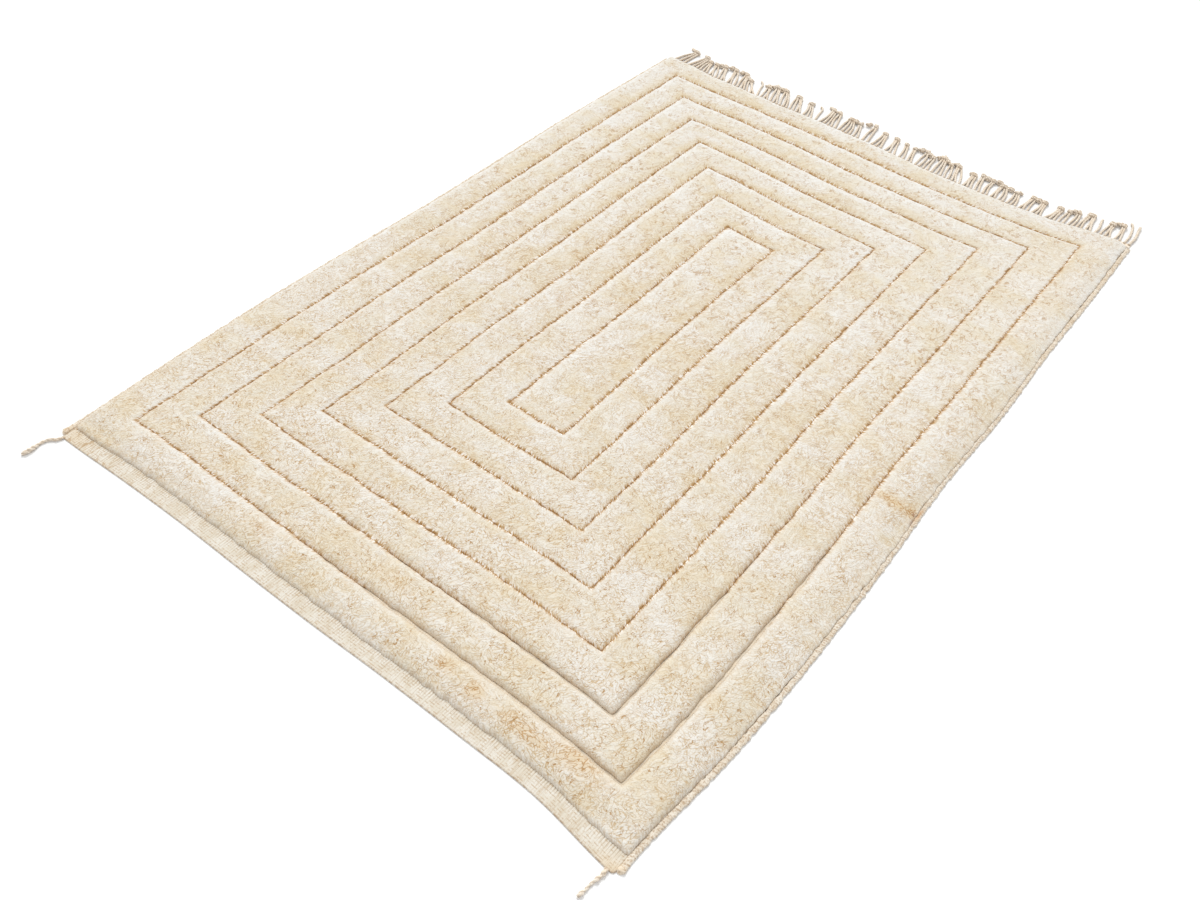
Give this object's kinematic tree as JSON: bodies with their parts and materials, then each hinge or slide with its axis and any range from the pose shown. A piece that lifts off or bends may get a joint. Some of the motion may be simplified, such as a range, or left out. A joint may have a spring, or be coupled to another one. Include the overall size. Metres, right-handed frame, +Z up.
{
  "type": "beni mrirt rug",
  "caption": "Thick ivory wool rug lying flat, with grooved pile bands one inside the other, a flat-woven end, bound long sides and a knotted warp fringe.",
  "frame": {"origin": "on the floor, in the middle of the rug's underside", "axes": "+Z up through the pile, +Y along the rug from the flat-woven end to the fringe, +X across to the right side"},
  "size_m": [2.0243, 3.1775, 0.0275],
  "materials": {
    "pile_wool": "soft cut wool pile, ivory with cloudy beige patches",
    "edge_wool": "wool yarn bound over the side warps, matte",
    "warp_yarn": "twisted wool warp, cream tan, matte"
  },
  "bodies": {
    "root": {"woven_rug": "pile_wool", "selvedge_left": "edge_wool", "selvedge_right": "edge_wool", "fringe": "warp_yarn", "tail_left": "warp_yarn", "tail_right": "warp_yarn"}
  },
  "joints": []
}
